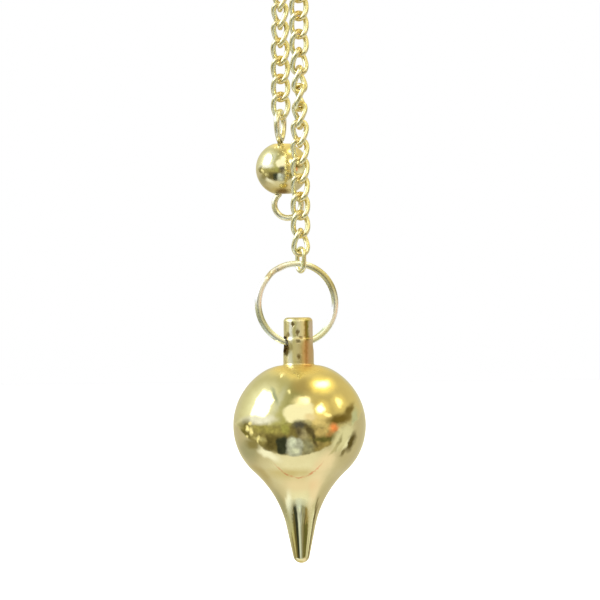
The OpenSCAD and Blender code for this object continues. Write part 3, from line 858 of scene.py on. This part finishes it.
# Things on the left, small and bright before a dark one
SMALL_THINGS = [Spot((0.20, 0.18, 0.06), -0.79, -0.06, 0.075, 0.15, soft=0.5)] + [
    Spot((1.2, 1.15, 0.75), *place) for place in (
        (-0.79, -0.04, 0.024, 0.045), (-0.73, -0.08, 0.03, 0.06), (-0.79, -0.18, 0.022, 0.03),
        (-0.74, 0.04, 0.024, 0.03), (-0.62, -0.22, 0.018, 0.07))
]
# Dark shelf and a red thing, on the right
SHELF = [
    Spot((0.18, 0.13, 0.035), 0.60, 0.10, 0.20, 0.085, 14, soft=0.65),
    Spot((0.22, 0.17, 0.06), 0.75, 0.24, 0.050, 0.11, -32, soft=0.65),
    Spot((0.58, 0.64, 0.52), 0.83, 0.10, 0.045, 0.16, -6),
    Spot((0.50, 0.30, 0.14), 0.46, -0.13, 0.06, 0.045, 30),
    Spot((1.0, 0.36, 0.16), 0.515, -0.040, 0.064, 0.068),
]
# Table, brightest in the middle
TABLE_TOP = (0.60, 0.56, 0.45)
TABLE = [
    Spot((0.95, 0.95, 0.87), -0.02, -0.62, 0.42, 0.36, soft=0.7),
    Spot((0.68, 0.60, 0.38), -0.14, -0.83, 0.44, 0.125),
    Spot((0.50, 0.43, 0.25), -0.58, -0.77, 0.22, 0.07, -37, amount=0.7),
    Spot((0.42, 0.42, 0.33), -0.76, -0.40, 0.13, 0.17, 25, soft=0.7),
    Spot((0.98, 0.88, 0.80), 0.36, -0.60, 0.22, 0.11, 50),
    Spot((1.10, 1.15, 1.25), -0.47, -0.45, 0.19, 0.055, -32),
]
# Shadow at the table's left end, and a pale curtain with folds on the right
CURTAIN = [
    Spot((0.30, 0.27, 0.14), -0.70, -0.30, 0.10, 0.07, -25),
    Spot((0.82, 0.83, 0.70), 0.645, -0.21, 0.22, 0.105, 54, soft=0.5),
    Spot((0.42, 0.41, 0.29), 0.585, -0.28, 0.13, 0.022, 68),
    Spot((0.12, 0.095, 0.035), 0.765, -0.27, 0.15, 0.052, 66, soft=0.55),
    Spot((0.95, 0.98, 0.90), 0.68, -0.33, 0.13, 0.022, 62),
    Spot((0.26, 0.23, 0.14), 0.645, -0.43, 0.08, 0.024, 58, soft=0.5),
    Spot((0.60, 0.57, 0.42), 0.52, -0.38, 0.12, 0.02, 48),
]
LAMPS = [
    Spot((1.6, 1.30, 0.48), 0.34, 0.64, 0.165, 0.105, -6, soft=0.7),
    Spot((3.6, 3.3, 2.2), 0.34, 0.65, 0.095, 0.050, -6),
    Spot((1.15, 0.95, 0.40), 0.33, 0.27, 0.11, 0.11, soft=0.7),
    Spot((3.4, 3.3, 2.6), 0.31, 0.27, 0.060, 0.072, soft=0.5),
    Spot((1.7, 1.5, 0.9), 0.42, 0.18, 0.05, 0.03, -10, soft=0.7),
    Spot((1.05, 0.88, 0.40), 0.59, 0.37, 0.09, 0.12, 18, soft=0.7),
    Spot((2.3, 2.1, 1.2), 0.585, 0.37, 0.042, 0.070, 18),
    Spot((3.2, 3.0, 2.4), 0.075, 0.412, 0.075, 0.052),
    Spot((1.45, 1.35, 1.05), 0.03, 0.40, 0.12, 0.07, soft=0.7, amount=0.7),
    Spot((2.0, 1.9, 1.4), -0.27, 0.80, 0.015, 0.032),
    Spot((1.3, 1.3, 0.9), -0.155, 0.55, 0.026, 0.026),
]
# Straight behind the object, where the ball's rim meets itself, the room is plain
BEHIND = (0.68, 0.64, 0.46)
ROOM_SHIFT = 0.070  # how far noise moves the room's edges
MOTTLE = 0.26  # how much lighter and darker the lower half is mottled


def build_world():
    world = bpy.data.worlds.new("studio")
    bpy.context.scene.world = world
    tree = Tree(world)
    tree.nodes.clear()
    maths, vector, spread = tree.maths, tree.vector, tree.spread

    # A direction's place on the ball is halfway between it and the way to the camera
    way = vector("NORMALIZE", tree.put("TexCoord").outputs["Generated"])
    facing = vector("SUBTRACT", way, (0, 1, 0))
    from_back = vector("LENGTH", facing)
    split = tree.put("SeparateXYZ", vector("NORMALIZE", facing))
    place = tree.put("CombineXYZ", split.outputs[0], split.outputs[2], 0.0).outputs[0]
    uneven = vector("SUBTRACT", tree.noise(place, 10, 2.5, 0.4).outputs["Color"], (0.5, 0.5, 0.5))
    place = vector("ADD", place, vector("MULTIPLY", uneven, (ROOM_SHIFT, ROOM_SHIFT, 0)))
    split = tree.put("SeparateXYZ", place)
    x, z = split.outputs[0], split.outputs[1]

    def paint(look, spots):
        for s in spots:
            mask = tree.inside(place, (s.x, s.z, 0), (s.a, s.b, 1), s.turn, s.soft, s.box)
            if s.amount != 1:
                mask = maths("MULTIPLY", mask, s.amount)
            look = tree.mix(mask, look, s.colour)
        return look

    look = paint(BACKDROP, WALLS + WINDOW + DARK_SIDE + SMALL_THINGS + SHELF)
    cloud = tree.noise(place, 14, 3).outputs["Fac"]
    cloud = tree.put("MapRange", cloud, 0.32, 0.68, -MOTTLE, MOTTLE).outputs["Result"]
    cloud = maths("ADD", 1, maths("MULTIPLY", cloud, spread(z, 0.16, -0.02)))
    mottled = tree.put("VectorMath", look, operation="SCALE")
    tree.give(mottled.inputs["Scale"], cloud)
    # The table's far edge is an arc
    edge = maths("ADD", maths("MULTIPLY", maths("MULTIPLY", x, x), 0.62), maths("MULTIPLY", x, 0.10))
    below = spread(maths("SUBTRACT", maths("ADD", edge, -0.477), z), -0.012, 0.020)
    look = tree.mix(below, mottled.outputs[0], paint(TABLE_TOP, TABLE))
    look = paint(look, CURTAIN + LAMPS)
    look = tree.mix(spread(from_back, 0.66, 0.22), look, BEHIND)

    # The camera and matt surfaces see plain white
    plain = tree.put("Background", (1, 1, 1, 1), 1.0).outputs[0]
    studio = tree.put("Background", look, 1.0).outputs[0]
    rays = tree.put("LightPath").outputs
    is_plain = maths("MAXIMUM", rays["Is Camera Ray"], rays["Is Diffuse Ray"])
    mixed = tree.put("MixShader", is_plain, studio, plain).outputs[0]
    tree.put("OutputWorld", mixed)


build_world()


def add_light(name, at, aim, size, power):
    data = bpy.data.lights.new(name, "AREA")
    data.shape, data.size, data.energy = "DISK", size, power
    light = add_object(name, data)
    light.location = at
    light.rotation_mode = "QUATERNION"
    light.rotation_quaternion = (Vector(aim) - Vector(at)).to_track_quat("-Z", "Y")
    light.visible_glossy = False
    light.visible_camera = False


add_light("key", (-1.0, -1.0, 2.2), (0, 0.6, -0.17), 1.6, 60)
add_light("fill", (1.4, 2.2, 2.4), (0, 1.5, -0.17), 2.2, 70)


# Camera: level, far off, with the photograph's small roll

IMAGE_PIXELS, PIXELS_PER_MM = 600, 7.1
VIEW_X, VIEW_Z, VIEW_FAR, VIEW_ROLL = 1.178, -101.2, 1200, 0.45
SENSOR = 36

camera_data = bpy.data.cameras.new("camera")
camera = add_object("camera", camera_data)
bpy.context.scene.camera = camera
camera_data.sensor_fit = "HORIZONTAL"
camera_data.sensor_width = SENSOR
camera_data.lens = SENSOR * VIEW_FAR / (IMAGE_PIXELS / PIXELS_PER_MM)
camera_data.clip_start, camera_data.clip_end = 0.05, 20
camera.location = [v * MM for v in (VIEW_X, BOB_TOP.y - VIEW_FAR, VIEW_Z)]
camera.rotation_mode = "QUATERNION"
level = Quaternion((1, 0, 0), math.pi / 2)
camera.rotation_quaternion = level @ Quaternion((0, 0, 1), -math.radians(VIEW_ROLL))

bpy.context.scene.view_settings.view_transform = "Standard"
